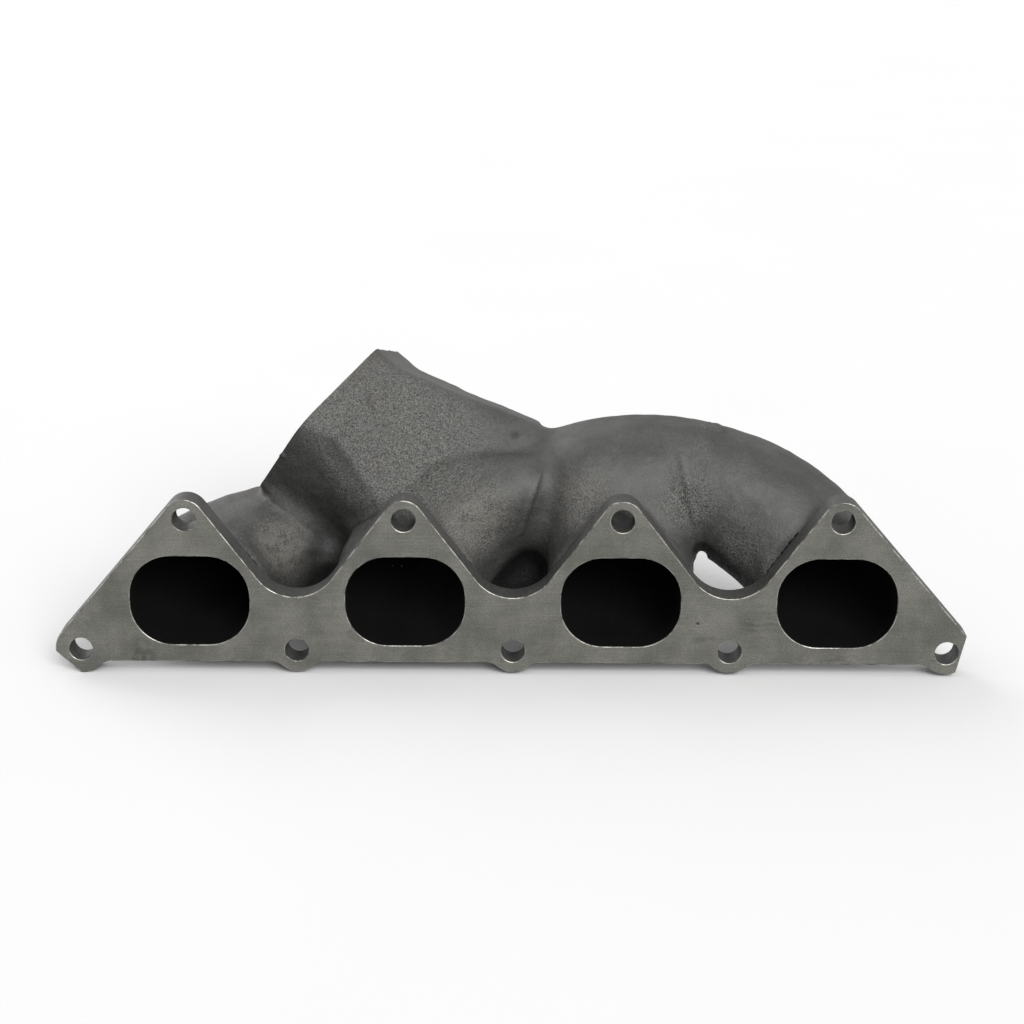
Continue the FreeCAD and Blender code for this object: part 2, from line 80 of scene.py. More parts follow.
# Where creases are filled to TIGHT_RADIUS only. A reach is the distance up to which they are, and
# the distance from which they no longer are.
GAP_CENTRE = (90.0, 40.0, 22.0)
GAP_REACH = (26.0, 44.0)
HUMP_CREASE = ((-60.0, 29.0, 58.0), (-15.0, 49.5, 77.0))
HUMP_CREASE_REACH = (12.0, 22.0)
RIM_DEPTH = (22.0, 38.0)
RIM_REACH = (-3.5, 0.5)

# The gap's narrow top is a slot of this radius, along the line of sight through it.
GAP_TOP = (80.9, 12.0, 38.6)
GAP_DIRECTION = (0.082, 0.943, -0.322)
GAP_TOP_RADIUS = 2.3
GAP_TOP_SQUASH = 0.8
LEAST_WALL = 2.6

# The rooms for the stud nuts, and the plugs that close the ports while creases are filled.
NUT_RADIUS = 9.5
NUT_ROOM = 16.0
PORT_PLUG_HALF = (29.0, 23.0)
OUTLET_PLUG_HALF = (32.0, 28.0)
PLUG_THICKNESS = 5.0

# The outlet flange is drawn this much too thick and milled back, as far down as the room's edge;
# below it the skin slopes away with this rise, and this far.
OUTLET_SPARE = 10.0
OUTLET_ROOM_EDGE = -41.0
OUTLET_ROOM_STEP = (2.0, -0.5)
OUTLET_ROOM_DEPTH = (-12.0, -4.0)
OUTLET_ROOM_END = (-40.0, -30.0)
OUTLET_RAMP = 1.2
OUTLET_RAMP_LENGTH = 12.0
WELL_INSIDE = -9.0

# The skin is divided between the nodes by distance, and a node with a lead reaches farther, so
# that no sliver of one node is left along another's edge.
NODE_REACH = 7.0
NODE_LEAD = {
    "runner_1": 1.5, "runner_2": 1.5, "runner_3": 3.0, "runner_4": 4.5, "collector": 6.0,
    "outlet_flange": 6.0, "runner_web": 0.0, "cast_pad": 5.0,
}
CAST_NODES = tuple(NODE_LEAD)

# The runners' flat ends reach this far into the head flange. The skin takes the gas ways'
# near-black painted shade this near a gas way, and those flat ends are this near one.
SEAM_SINK = 0.05
GAS_SKIN = 0.9
GAS_MOUTH = 4.0
NO_LENGTH = 1e-12


def mount_point(name):
    return np.array(MOUNTS[name]["pos_m"]) / MM


def unit(vector):
    return vector / np.linalg.norm(vector)


FLANGE_BACK = MOUNTS["lower_stud_hole_3"]["dims"]["length_mm"]
OUTLET_HOLES = [mount_point(f"outlet_stud_hole_{number}") for number in (1, 2, 3, 4)]
OUTLET_OUT = np.array(MOUNTS["outlet_face"]["axis"])
OUTLET_RIGHT = unit(OUTLET_HOLES[0] - OUTLET_HOLES[1])
OUTLET_UP = unit(OUTLET_HOLES[1] - OUTLET_HOLES[2])
OUTLET_HALF = MOUNTS["outlet_stud_hole_1"]["dims"]["length_mm"] / 2
OUTLET_CENTRE = sum(OUTLET_HOLES) / 4 + OUTLET_OUT * OUTLET_HALF

# The skin's waviness: each wave's length, its height and its random seed, and the gain that
# brings smoothed random values to about 1.
WAVE_GAIN = 2.2
SKIN_WAVES = ((14.0, 0.24, 1), (6.0, 0.12, 2), (2.6, 0.09, 3))

# Flash where the mould's halves met: each line's plane, as a normal and an offset, then the
# middle and the half length of the stretch where it stands proud.
FLASH_HEIGHT = 0.8
FLASH_HALF_WIDTH = 0.9
FLASH_LINES = (
    ((-0.958, 0.086, 0.2736), 11.02, (6.9, 28.0, 57.0), 16.0),
    ((-0.9765, 0.0093, -0.2155), -87.08, (76.5, 27.0, 60.0), 21.0),
)
BURR_LINE = ((-97.0, 41.0, 73.5), (-102.2, 39.8, 76.2))
BURR_RADIUS = 1.3

# Patches of a look: each one's place, the radii at which it starts to fade and has faded, and
# its strength.
SANDY_PLACES = (
    ((-52.0, 34.0, 84.0), 24.0, 66.0, 1.0),
    ((-17.0, 20.0, 53.0), 6.0, 26.0, 1.0),
    ((31.0, 24.0, 60.0), 4.0, 20.0, 0.9),
    ((75.0, 25.0, 60.0), 5.0, 19.0, 1.0),
    ((98.0, 21.0, 39.0), 3.0, 15.0, 0.9),
    ((-103.0, 30.0, 37.0), 7.0, 20.0, 1.0),
)
# Painted shade: places where the colour is darkened for the shade in deep pockets, hollows and the
# gap beside runner 4.
PAINTED_SHADE_PLACES = (
    ((1.0, 52.0, 20.0), 10.0, 26.0, 0.96),
    ((-85.0, 46.0, 15.0), 5.0, 17.0, 0.8),
    ((-79.0, 49.0, 31.0), 4.0, 14.0, 0.4),
    ((0.3, 53.0, 81.4), 0.8, 3.2, 0.5),
    ((82.5, 32.0, 37.0), 4.0, 9.0, 0.85),
    ((88.5, 31.0, 32.5), 4.0, 8.5, 0.8),
    ((95.0, 30.0, 27.0), 4.0, 8.5, 0.8),
)
DUSTY_PLACES = (
    ((-101.0, 31.0, 36.0), 5.0, 17.0, 0.6),
    ((-17.0, 20.0, 53.0), 5.0, 20.0, 0.45),
    ((29.0, 24.0, 60.0), 4.0, 16.0, 0.3),
)

# Marks on the head flange's milled face.
SMUDGE_PLACE = (-160.0, 0.0, -4.5)
SCRAPE_PLACE = (105.0, 0.0, 14.0)
PIT_PLACE = (79.0, 0.0, 13.0)

# Painted shade on the collector's lower left facet, which faces down and away from the light: the
# way it faces, its middle and the radii of its fade, and for each side a direction and the heights
# along it where the painted shade starts and is full.
FACET_FACING = (-0.47, -0.78, -0.41)
FACET_PLACE = (-86.0, 38.0, 62.0)
FACET_RADII = (30.0, 44.0)
FACET_SIDES = (
    ((-0.855, 0.0, -0.519), 18.9, 22.9),
    ((-0.269, 0.0, -0.963), -64.9, -60.9),
)

# The head flange: the distance in metres at which points are one, the Y of a normal that makes a
# face the front, the bright edge's radius, the largest angle between walls that look smooth, and
# the least and the greatest size of a port, which tell ports from stud holes and the outline.
WELD = 1e-6
FRONT_NORMAL = -0.99
FLANGE_EDGE = 0.45
SMOOTH_ANGLE = 30.0
PORT_SIZES = (30.0, 80.0)

# Light and camera. Each lamp has a name, the direction it comes from, its strength and its spread
# in degrees; the camera's angles are its turn, its drop and its tilt in degrees. The horizon's
# heights are where its light fades, as the sine of an elevation. FLOOR_HALF is in metres.
SKY_FROM = (0.5, -0.66, 0.56)
SKY_STRENGTH = (0.36, 1.12)
HORIZON_STRENGTH = 0.96
HORIZON_HEIGHT = (0.06, 0.30)
FLOOR_HALF = 30.0
LAMPS = (
    ("key", (0.31, -0.79, 0.53), 4.8, 35.0),
    ("back_fill", (-0.62, 0.62, 0.48), 1.9, 50.0),
)
CAMERA_LENS = 72.01
CAMERA_ANGLES = (0.65, 17.98, 0.07)
CAMERA_PLACE = (8.85, -818.7, 328.6)


# ---------------------------------------------------------------- distance fields

def node_polygons(name):
    """A node's points, in millimetres, and its triangles."""
    mesh = frame["nodes"][name].data
    mesh.calc_loop_triangles()
    points = np.empty(len(mesh.vertices) * 3, np.float32)
    mesh.vertices.foreach_get("co", points)
    triangles = np.empty(len(mesh.loop_triangles) * 3, np.int32)
    mesh.loop_triangles.foreach_get("vertices", triangles)
    return points.reshape(-1, 3) / MM, triangles.reshape(-1, 3).astype(np.uint32)


def box_polygons(centre, axes, half):
    """A box's points and triangles, from its centre, three unit axes and half sizes."""
    signs = [(x, y, z) for x in (-1, 1) for y in (-1, 1) for z in (-1, 1)]
    points = [centre + sum(s * h * a for s, h, a in zip(sign, half, axes)) for sign in signs]
    quads = ((0, 1, 3, 2), (4, 6, 7, 5), (0, 4, 5, 1), (2, 3, 7, 6), (0, 2, 6, 4), (1, 5, 7, 3))
    triangles = [t for a, b, c, d in quads for t in ((a, b, c), (a, c, d))]
    return np.array(points, np.float32), np.array(triangles, np.uint32)


def joined(parts):
    """Several sets of points and triangles as one."""
    offsets = np.cumsum([0] + [len(points) for points, _ in parts[:-1]])
    points = np.concatenate([points for points, _ in parts])
    triangles = np.concatenate([tris + offset for (_, tris), offset in zip(parts, offsets)])
    return points.astype(np.float32), triangles.astype(np.uint32)


class Field:
    """A regular grid, with planes half a step either side of the head flange's back."""

    def __init__(self, low, high):
        anchor = np.array([0.0, FLANGE_BACK + VOXEL / 2, 0.0])
        self.low = anchor - np.round((anchor - low) / VOXEL) * VOXEL
        self.shape = tuple(np.ceil((high - self.low) / VOXEL).astype(int) + 1)
        self.transform = openvdb.createLinearTransform(voxelSize=VOXEL)

    def distances(self, points, faces, reach):
        """Signed distances to a closed surface, true up to reach either side of it."""
        shifted = (points - self.low).astype(np.float32)
        kind = "quads" if faces.shape[1] == 4 else "triangles"
        grid = openvdb.FloatGrid.createLevelSetFromPolygons(
            shifted, **{kind: faces}, transform=self.transform, halfWidth=reach / VOXEL + 2
        )
        block = np.empty(self.shape, np.float32)
        grid.copyToArray(block)
        return block

    def surface(self, block, level, background):
        """The surface of a block at a level, as points and quads."""
        grid = openvdb.FloatGrid(background)
        grid.transform = self.transform
        grid.copyFromArray(block)
        points, quads = grid.convertToQuads(isovalue=level)
        return points + self.low, quads


def components(points, faces):
    """The label of the connected part that each point belongs to."""
    labels = np.arange(len(points))
    while True:
        lowest = labels[faces].min(1)
        new = labels.copy()
        for corner in range(faces.shape[1]):
            np.minimum.at(new, faces[:, corner], lowest)
        new = new[new]
        if (new == labels).all():
            return labels
        labels = new


def kept(points, faces, mask):
    """The faces whose points are all in the mask, with the points renumbered."""
    faces = faces[mask[faces].all(1)]
    used = np.unique(faces)
    index = np.zeros(len(points), np.uint32)
    index[used] = np.arange(len(used))
    return points[used], index[faces]


def blurred(block):
    """The block after a light three-point smoothing along each axis."""
    for axis in range(3):
        ahead = np.roll(block, -1, axis)
        behind = np.roll(block, 1, axis)
        block = (ahead + behind + 2 * block) / 4
    return block


def stretch_matrix(count, step, seed_count):
    """Weights that spread seed_count random values, smoothly, over count places."""
    place = np.arange(count) / step
    whole = np.floor(place).astype(int)
    part = place - whole
    matrix = np.zeros((count, seed_count), np.float32)
    rows = np.arange(count)
    weights = (
        (1 - part) ** 3 / 6,
        (3 * part ** 3 - 6 * part ** 2 + 4) / 6,
        (-3 * part ** 3 + 3 * part ** 2 + 3 * part + 1) / 6,
        part ** 3 / 6,
    )
    for shift, weight in enumerate(weights):
        matrix[rows, whole + shift] += weight
    return matrix


def waves(shape, length, seed):
    """Smooth random waves of about that length, in a block of that shape, from about -1 to 1."""
    step = length / VOXEL
    counts = [int(size / step) + 5 for size in shape]
    block = np.random.default_rng(seed).normal(size=counts).astype(np.float32) * WAVE_GAIN
    for axis, (size, count) in enumerate(zip(shape, counts)):
        matrix = stretch_matrix(size, step, count)
        block = np.moveaxis(np.tensordot(matrix, block, axes=(1, axis)), 0, axis)
    return block


# ---------------------------------------------------------------- the casting's form

def plugs():
    """Boxes that close the four ports and the outlet, so that the gas ways are a closed hollow."""
    boxes = []
    wide, tall = PORT_PLUG_HALF
    for number in (1, 2, 3, 4):
        low, high = (np.array(corner) / MM for corner in OPENINGS[f"port_{number}"])
        middle = (low + high) / 2
        middle[1] = -PLUG_THICKNESS
        boxes.append(box_polygons(middle, np.eye(3), (wide, PLUG_THICKNESS / 2, tall)))
    centre = OUTLET_CENTRE + OUTLET_OUT * (OUTLET_SPARE + PLUG_THICKNESS)
    axes = (OUTLET_RIGHT, OUTLET_UP, OUTLET_OUT)
    boxes.append(box_polygons(centre, axes, (*OUTLET_PLUG_HALF, PLUG_THICKNESS / 2)))
    return boxes


def tight_share(field, plate, depth):
    """1 where creases are filled to TIGHT_RADIUS only, 0 where to CREASE_RADIUS: it is 1 around
    the gap beside runner 4, along the crease over runner 2, beside the flange's rim, and past the
    outlet's milled face."""
    share = smooth_step(distance_from(field, GAP_CENTRE), GAP_REACH[1], GAP_REACH[0])
    crease = distance_from_line(field, *HUMP_CREASE)
    share = np.maximum(share, smooth_step(crease, HUMP_CREASE_REACH[1], HUMP_CREASE_REACH[0]))
    row = int(round((FLANGE_BACK / 2 - field.low[1]) / VOXEL))
    beside_rim = smooth_step(field.distances(*plate, NODE_REACH)[:, row : row + 1, :], *RIM_REACH)
    share = np.maximum(share, beside_rim * smooth_step(depth, RIM_DEPTH[1], RIM_DEPTH[0]))
    past_edge = grid_along(field, OUTLET_UP) - OUTLET_ROOM_EDGE
    past_outlet = smooth_step(past_edge, *OUTLET_ROOM_STEP)
    past_outlet *= smooth_step(grid_along(field, OUTLET_OUT), *OUTLET_ROOM_DEPTH)
    return np.maximum(share, past_outlet * smooth_step(past_edge, *OUTLET_ROOM_END))


def casting_blocks():
    """The field, the casting's outer form and its gas ways, as blocks of distances."""
    outlet_points, outlet_triangles = node_polygons("outlet_flange")
    cast = [node_polygons(name) for name in CAST_NODES if name != "cast_pad"]
    plate = node_polygons("head_flange")
    spare = (outlet_points + OUTLET_OUT * OUTLET_SPARE, outlet_triangles)
    points, triangles = joined(cast + [plate, spare] + plugs())

    margin = CREASE_RADIUS + 4 * VOXEL
    field = Field(points.min(0) - margin, points.max(0) + margin)
    block = field.distances(points, triangles, CREASE_RADIUS)
    outer, gas = closed(field, block, CREASE_RADIUS)
    block = np.minimum(field.distances(*joined(cast), TIGHT_RADIUS), gas)
    tight, _ = closed(field, block, TIGHT_RADIUS)

    depth = (field.low[1] + VOXEL * np.arange(field.shape[1]))[None, :, None]
    share = tight_share(field, plate, depth)
    outer = share * tight + (1 - share) * outer
    for name in MOUNTS:
        if name.startswith(("lower_stud", "upper_stud")):
            x, _, z = mount_point(name)
            across = field.low[0] + VOXEL * np.arange(field.shape[0]) - x
            along = field.low[2] + VOXEL * np.arange(field.shape[2]) - z
            nut = np.hypot(across[:, None, None], along[None, None, :]) - NUT_RADIUS
            nut = np.maximum(nut, depth - FLANGE_BACK - NUT_ROOM)
            outer = np.minimum(np.maximum(outer, -nut), np.maximum(outer, tight))
    return field, blurred(outer.astype(np.float32)), blurred(gas)


def smooth_step(block, start, end):
    """0 at start and beyond it, 1 at end and beyond it, and smooth between."""
    share = np.clip((block - start) / (end - start), 0, 1)
    return (share * share * (3 - 2 * share)).astype(np.float32)


def closed(field, block, radius):
    """The outer form, with its creases filled to a radius and its edges rounded, and the gas
    ways, which are the largest hollow in it; or None for them where it has no hollow."""
    grown, quads = field.surface(block, radius, CREASE_RADIUS + 2 * VOXEL)
    labels = components(grown, quads)
    shell = labels == labels[grown[:, 0].argmin()]
    outer_points, outer_quads = kept(grown, quads, shell)
    reach = radius + EDGE_RADIUS
    inside = field.distances(outer_points, outer_quads, reach)
    shrunk, shrunk_quads = field.surface(inside, -reach, reach + 2 * VOXEL)
    outer = field.distances(shrunk, shrunk_quads, EDGE_RADIUS + 4 * VOXEL) - EDGE_RADIUS
    if shell.all():
        return outer, None
    inner = np.bincount(labels[~shell], minlength=1)
    gas_points, gas_quads = kept(grown, quads, labels == inner.argmax())
    gas = field.distances(gas_points, gas_quads, radius + 2 * VOXEL) - radius
    return outer, gas


def local_height(points, direction, origin=OUTLET_CENTRE):
    """How far points lie along a direction from an origin."""
    return (points - origin) @ direction


def grid_along(field, direction, origin=OUTLET_CENTRE):
    """How far each grid point lies along a direction from an origin, as a block."""
    axes = [field.low[i] + VOXEL * np.arange(field.shape[i]) - origin[i] for i in range(3)]
    return (
        (axes[0] * direction[0])[:, None, None]
        + (axes[1] * direction[1])[None, :, None]
        + (axes[2] * direction[2])[None, None, :]
    ).astype(np.float32)


def distance_from(field, place):
    """How far each grid point is from a place, as a block."""
    squares = [(field.low[i] + VOXEL * np.arange(field.shape[i]) - place[i]) ** 2 for i in range(3)]
    total = squares[0][:, None, None] + squares[1][None, :, None] + squares[2][None, None, :]
    return np.sqrt(total).astype(np.float32)


def distance_from_line(field, start, end):
    """How far each grid point is from a line between two places, as a block."""
    start, end = np.array(start), np.array(end)
    length = np.linalg.norm(end - start)
    past = grid_along(field, (end - start) / length, start)
    beside = np.sqrt(np.maximum(distance_from(field, start) ** 2 - past**2, 0))
    return np.hypot(beside, past - np.clip(past, 0, length)).astype(np.float32)


def gap_top(field, gas):
    """The narrow top of the gap beside runner 4, kept clear of the gas ways, as a block."""
    way = Vector(GAP_DIRECTION).normalized()
    across = way.cross(Vector((0, 0, 1))).normalized()
    along = way.cross(across)
    radius = np.hypot(
        grid_along(field, np.array(across), np.array(GAP_TOP)),
        grid_along(field, np.array(along), np.array(GAP_TOP)) * GAP_TOP_SQUASH,
    )
    return np.maximum(radius - GAP_TOP_RADIUS, LEAST_WALL - gas)


def solid_block(field, outer, gas):
    """The casting: its outer form with its pad and rough skin, less gas ways and tapped holes."""
    past_edge = OUTLET_ROOM_EDGE - grid_along(field, OUTLET_UP)
    ramp = grid_along(field, OUTLET_OUT) - OUTLET_RAMP * past_edge
    sloping = (past_edge > 0) & (past_edge < OUTLET_RAMP_LENGTH)
    ramp = np.where(sloping, ramp / math.hypot(1, OUTLET_RAMP), WELL_INSIDE)
    outer = np.maximum(np.maximum(outer, ramp), -gap_top(field, gas)).astype(np.float32)
    outer = np.minimum(outer, field.distances(*node_polygons("cast_pad"), NODE_REACH))
    for length, height, seed in SKIN_WAVES:
        outer = outer + height * waves(field.shape, length, seed)
    smooth = outer
    for normal, offset, middle, half_length in FLASH_LINES:
        sheet = np.abs(grid_along(field, np.array(normal), np.zeros(3)) - offset)
        ridge = np.maximum(outer - FLASH_HEIGHT, sheet - FLASH_HALF_WIDTH)
        ridge = np.maximum(ridge, distance_from(field, middle) - half_length)
        outer = np.minimum(outer, ridge)
    outer = np.minimum(smooth, blurred(outer))
    outer = np.minimum(outer, distance_from_line(field, *BURR_LINE) - BURR_RADIUS)
    solid = np.maximum(outer, -gas)
    deep = grid_along(field, OUTLET_OUT)
    right = grid_along(field, OUTLET_RIGHT)
    up = grid_along(field, OUTLET_UP)
    radius = MOUNTS["outlet_stud_hole_1"]["dims"]["r_mm"]
    for hole in OUTLET_HOLES:
        across = (hole - OUTLET_CENTRE) @ OUTLET_RIGHT
        along = (hole - OUTLET_CENTRE) @ OUTLET_UP
        drill = np.hypot(right - across, up - along) - radius
        solid = np.maximum(solid, -np.maximum(drill, -deep - 2 * OUTLET_HALF))
    return solid, deep, up


EMPTY, HEAD, SPARE, FIRST_NODE = 0, 1, 2, 3


def region_labels(field, solid, deep, up):
    """Which region each grid point is in: none, the head flange's side, the room in front of the
    outlet face, or the nearest of the casting's nodes."""
    labels = np.zeros(field.shape, np.uint8)
    nearest = np.full(field.shape, np.inf, np.float32)
    for number, name in enumerate(CAST_NODES):
        distance = field.distances(*node_polygons(name), NODE_REACH) - NODE_LEAD[name]
        nearer = distance < nearest
        labels[nearer] = FIRST_NODE + number
        nearest[nearer] = distance[nearer]
    first_row = int(round((FLANGE_BACK + VOXEL / 2 - field.low[1]) / VOXEL))
    labels[:, :first_row, :] = HEAD
    labels[(deep > 0) & (up > OUTLET_ROOM_EDGE)] = SPARE
    labels[solid >= 0] = EMPTY
    return labels


def shifted_slices(axis):
    """The slices that give the lower and the upper end of every edge along an axis."""
    low = [slice(None)] * 3
    high = [slice(None)] * 3
    low[axis] = slice(0, -1)
    high[axis] = slice(1, None)
    return tuple(low), tuple(high)


def surface_net(field, solid, gas, labels):
    """One point for each grid cell that holds a border, and one quad for each edge across one.

    Returns the points and, for every quad, its four points, the labels on its two sides (the
    quad faces from the first to the second) and whether it lies on a gas way."""
    quads, sides, in_gas, cells, crossings, on_skin = [], [], [], [], [], []
    ny, nz = field.shape[1], field.shape[2]
    for axis in range(3):
        low, high = shifted_slices(axis)
        first, second = labels[low], labels[high]
        keep = (first != second) & ((first >= FIRST_NODE) | (second >= FIRST_NODE))
        index = np.argwhere(keep)
        side = np.stack([first[keep], second[keep]], 1)
        start, end = solid[low][keep], solid[high][keep]
        skin = (side == EMPTY).any(1)
        share = np.where(skin, start / np.where(skin, start - end, 1), 0.5)
        crossing = index.astype(np.float32)
        crossing[:, axis] += np.clip(share, 0, 1)
        one, two = (axis + 1) % 3, (axis + 2) % 3
        corners = []
        for shift_one, shift_two in ((-1, -1), (0, -1), (0, 0), (-1, 0)):
            cell = index.copy()
            cell[:, one] += shift_one
            cell[:, two] += shift_two
            corners.append((cell[:, 0] * ny + cell[:, 1]) * nz + cell[:, 2])
        cells.append(np.stack(corners, 1))
        crossings.append(crossing)
        on_skin.append(skin)
        sides.append(side)
        gas_there = np.where(side[:, 0] < FIRST_NODE, gas[low][keep], gas[high][keep])
        at_mouth = (side == HEAD).any(1) & (gas_there < GAS_MOUTH)
        in_gas.append((skin & (gas_there < GAS_SKIN)) | at_mouth)
    cells = np.concatenate(cells)
    crossings = np.concatenate(crossings)
    on_skin = np.concatenate(on_skin)
    sides = np.concatenate(sides)
    in_gas = np.concatenate(in_gas)
    unique, index = np.unique(cells, return_inverse=True)
    quads = index.reshape(-1, 4)
    points = cell_points(quads, crossings, on_skin, len(unique)) * VOXEL + field.low
    return points, quads, sides, in_gas


def cell_points(quads, crossings, on_skin, count):
    """Each cell's point: the mean of its crossings on the skin, or of all where it has none."""
    points = np.zeros((count, 3))
    for use in (np.ones(len(quads), bool), on_skin):
        total = np.zeros((count, 3))
        hits = np.bincount(quads[use].ravel(), minlength=count)
        for axis in range(3):
            weight = np.repeat(crossings[use, axis], 4)
            total[:, axis] = np.bincount(quads[use].ravel(), weight, minlength=count)
        found = hits > 0
        points[found] = total[found] / hits[found, None]
    return points


def flatten_faces(points, quads, sides):
    """Put the borders with the head flange and with the outlet's room on their exact planes."""
    touching_head = np.unique(quads[(sides == HEAD).any(1)])
    points[touching_head, 1] = FLANGE_BACK - SEAM_SINK
    points[:, 1] = np.maximum(points[:, 1], FLANGE_BACK - SEAM_SINK)
    depth = local_height(points, OUTLET_OUT)
    past_edge = OUTLET_ROOM_EDGE - local_height(points, OUTLET_UP)
    beside_room = np.zeros(len(points), bool)
    beside_room[np.unique(quads[(sides == SPARE).any(1)])] = True
    step = beside_room & (depth > VOXEL)
    points[step] += past_edge[step, None] * OUTLET_UP
    proud = ((depth > 0) & (past_edge < 0) | beside_room) & ~step
    points[proud] -= depth[proud, None] * OUTLET_OUT
    low, high = (np.array(corner) / MM for corner in CAD_BOX)
    return np.clip(points, low, high)


def unit_rows(vectors):
    """The vectors at unit length, or as they are where they have none."""
    return vectors / np.maximum(np.linalg.norm(vectors, axis=1, keepdims=True), NO_LENGTH)


def quad_normals(points, quads):
    """The area-weighted normals of quads."""
    first, second, third, fourth = (points[quads[:, corner]] for corner in range(4))
    return np.cross(third - first, fourth - second)


def point_normals(points, quads):
    """Unit normals at points, from the quads around them."""
    normals = np.zeros((len(points), 3))
    face = quad_normals(points, quads)
    for axis in range(3):
        normals[:, axis] = np.bincount(quads.ravel(), np.repeat(face[:, axis], 4), len(points))
    return unit_rows(normals)


def new_piece(name, points, faces, materials, face_materials, corner_normals):
    """A mesh object of quads, in metres, with its own corner normals."""
    mesh = bpy.data.meshes.new(name)
    mesh.vertices.add(len(points))
    mesh.vertices.foreach_set("co", (points * MM).astype(np.float32).ravel())
    mesh.loops.add(faces.size)
    mesh.loops.foreach_set("vertex_index", faces.astype(np.int32).ravel())
    mesh.polygons.add(len(faces))
    mesh.polygons.foreach_set("loop_start", np.arange(0, faces.size, 4, dtype=np.int32))
    for material in materials:
        mesh.materials.append(material)
    mesh.polygons.foreach_set("material_index", face_materials.astype(np.int32))
    mesh.update(calc_edges=True)
    mesh.polygons.foreach_set("use_smooth", np.ones(len(faces), bool))
    mesh.normals_split_custom_set(corner_normals.reshape(-1, 3))
    piece = bpy.data.objects.new(name, mesh)
    bpy.context.scene.collection.objects.link(piece)
    return piece


CAST_KIND, GAS_WAY_SHADE_KIND, MILLED_KIND = 0, 1, 2


def build_casting(materials):
    """One closed piece for each of the casting's nodes, cut from one continuous skin."""
    field, outer, gas = casting_blocks()
    solid, deep, up = solid_block(field, outer, gas)
    labels = region_labels(field, solid, deep, up)
    points, quads, sides, in_gas = surface_net(field, solid, gas, labels)
    points = flatten_faces(points, quads, sides)
    skin = (sides == EMPTY).any(1)
    outward = quads.copy()
    outward[sides[:, 0] == EMPTY] = outward[sides[:, 0] == EMPTY][:, ::-1]
    smooth = point_normals(points, outward[skin])
    for number, name in enumerate(CAST_NODES):
        own = sides == FIRST_NODE + number
        mine = own.any(1)
        faces = quads[mine].copy()
        reverse = own[mine][:, 1]
        faces[reverse] = faces[reverse][:, ::-1]
        flat = unit_rows(quad_normals(points, faces))
        corners = np.where(skin[mine][:, None, None], smooth[faces], flat[:, None, :])
        # Faces on a gas way get the near-black painted shade.
        kinds = np.where(in_gas[mine], GAS_WAY_SHADE_KIND, CAST_KIND)
        kinds[(sides[mine] == SPARE).any(1)] = MILLED_KIND
        used, index = np.unique(faces, return_inverse=True)
        piece = new_piece(
            f"{name}_skin", points[used], index.reshape(-1, 4), materials, kinds, corners
        )
        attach(piece, "root")
        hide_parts(name)


# ---------------------------------------------------------------- head flange

def rim_loops(mesh):
    """The loops where the plate's front face meets its walls: each loop's points, as (x, z), and
    the walls' outward normals along the segments that start at them."""
    work = bmesh.new()
    work.from_mesh(mesh)
    bmesh.ops.remove_doubles(work, verts=work.verts, dist=WELD)
    walls = {}
    for edge in work.edges:
        front = [face.normal.y < FRONT_NORMAL for face in edge.link_faces]
        if len(front) == 2 and front[0] != front[1]:
            wall = edge.link_faces[1] if front[0] else edge.link_faces[0]
            for vert in edge.verts:
                walls.setdefault(vert, []).append((edge.other_vert(vert), wall.normal.copy()))
    loops = []
    left = set(walls)
    while left:
        start = min(left, key=lambda vert: vert.index)
        points, normals = [], []
        here, before = start, None
        while True:
            left.discard(here)
            following, normal = next(step for step in walls[here] if step[0] is not before)
            points.append((here.co.x / MM, here.co.z / MM))
            normals.append((normal.x, normal.z))
            here, before = following, here
            if here is start:
                break
        loops.append((np.array(points), np.array(normals)))
    work.free()
    return loops


def edge_profile():
    """The plate's wall from front to back, as rings: each one's inset from the outline, its depth
    and the angle that its normal has turned from the front's."""
    front = [
        (FLANGE_EDGE * (1 - math.sin(turn)), FLANGE_EDGE * (1 - math.cos(turn)), turn)
        for turn in (0.0, math.pi / 4, math.pi / 2)
    ]
    back = [(inset, FLANGE_BACK - depth, math.pi - turn) for inset, depth, turn in front[::-1]]
    return front + back


FACE_KIND, PORT_KIND, RIM_KIND, EDGE_KIND = 0, 1, 2, 3


